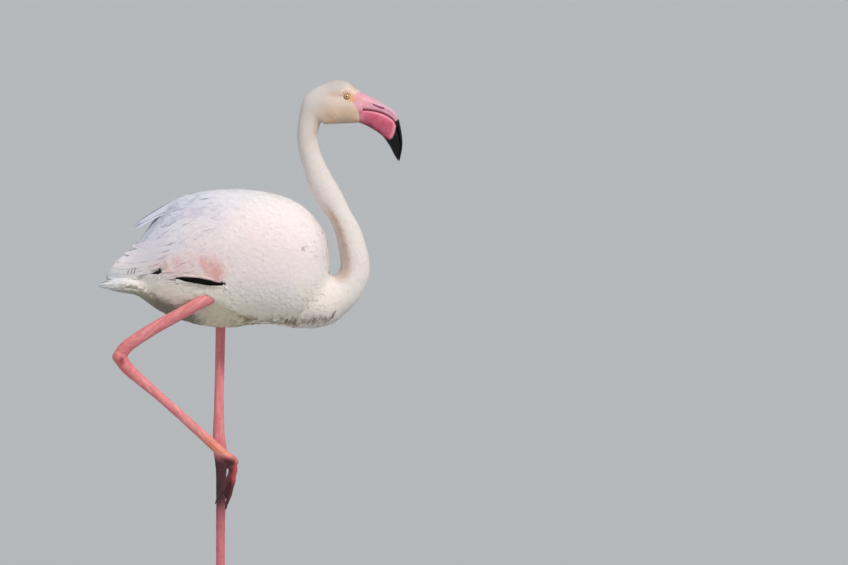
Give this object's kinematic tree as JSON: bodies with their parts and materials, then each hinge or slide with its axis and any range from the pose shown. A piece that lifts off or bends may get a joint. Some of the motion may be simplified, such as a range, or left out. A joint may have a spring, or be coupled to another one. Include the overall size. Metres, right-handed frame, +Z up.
{
  "type": "flamingo",
  "caption": "Life-size greater flamingo wading on its left leg, right foot drawn up, wings folded, neck in an S and bill bent down.",
  "frame": {"origin": "on the floor, under the toe joint of the left foot, on which the bird stands", "axes": "+X is the way the bird faces, +Y its left side, +Z up"},
  "size_m": [0.5327, 0.196, 0.9356],
  "materials": {
    "plumage": "soft feathers",
    "leg_skin": "scaly skin with a slight sheen",
    "bill_horn": "smooth horn, satin",
    "claw_horn": "dull horn",
    "eye": "wet, clear"
  },
  "bodies": {
    "root": {"trunk": "plumage", "wing_right": "plumage", "wing_left": "plumage", "plume_right": "plumage", "plume_left": "plumage", "tail": "plumage", "neck_base": "plumage", "neck_middle": "plumage", "neck_top": "plumage", "head": "plumage", "eye_right": "eye", "eye_left": "eye", "bill_upper": "bill_horn", "bill_lower": "bill_horn", "shank_left": "leg_skin", "shank_right": "leg_skin", "tarsus_left": "leg_skin", "tarsus_right": "leg_skin", "foot_left": "leg_skin", "foot_right": "leg_skin", "hind_toe_left": "leg_skin", "hind_toe_right": "leg_skin", "claw_left_inner": "claw_horn", "claw_left_middle": "claw_horn", "claw_left_outer": "claw_horn", "claw_left_hind": "claw_horn", "claw_right_inner": "claw_horn", "claw_right_middle": "claw_horn", "claw_right_outer": "claw_horn", "claw_right_hind": "claw_horn"}
  },
  "joints": []
}
